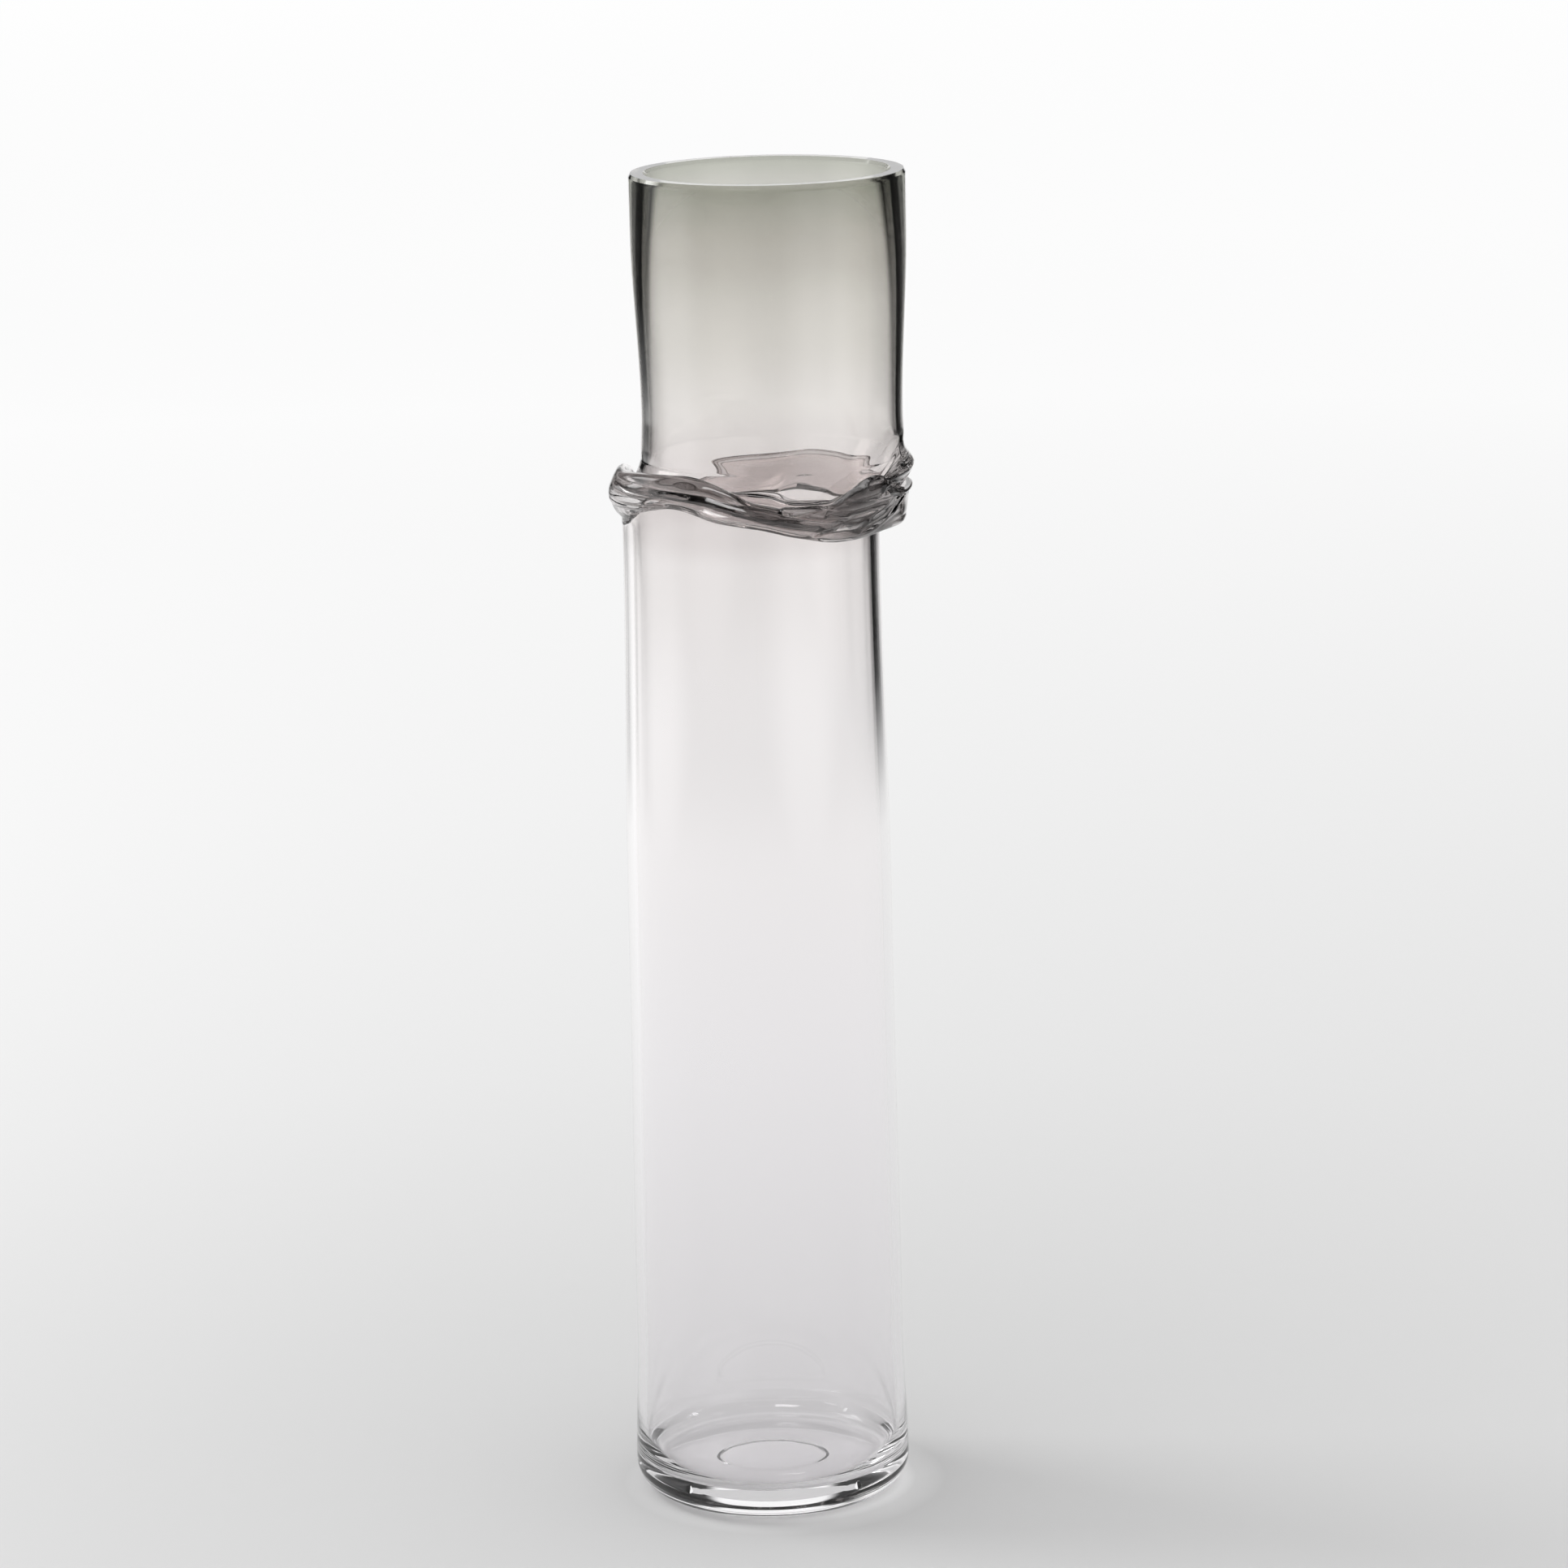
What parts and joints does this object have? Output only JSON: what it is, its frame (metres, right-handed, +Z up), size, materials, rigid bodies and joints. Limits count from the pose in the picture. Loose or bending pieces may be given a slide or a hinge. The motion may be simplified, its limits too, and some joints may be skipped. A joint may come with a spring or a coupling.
{
  "type": "glass cylinder vase",
  "caption": "Tall hand-blown clear glass cylinder vase with a smoke-tinted upper tube, a folded glass collar below the rim and a thick clear foot with a ground hollow.",
  "frame": {"origin": "on the table plane, midway between the axes of the lower and the upper tube", "axes": "+Z up along the vase; -Y is the front, where the collar's broad band lies; +X is the side towards which the upper tube steps"},
  "size_m": [0.1152, 0.1067, 0.508],
  "materials": {
    "clear_glass": "clear fire-polished glass, faintly lavender",
    "collar_glass": "folded grey-mauve glass with drawn ridges",
    "smoke_glass": "smoke-grey glass, darker towards the cut and polished rim"
  },
  "bodies": {
    "root": {"foot": "clear_glass", "lower_tube": "clear_glass", "collar_core": "collar_glass", "upper_tube": "smoke_glass", "front_upper_fold": "collar_glass", "front_lower_fold": "collar_glass", "left_loop": "collar_glass", "back_fold": "collar_glass", "back_bead": "collar_glass", "right_outer_fold": "collar_glass", "right_hook_pleat": "collar_glass", "right_upper_pleat": "collar_glass"}
  },
  "joints": []
}
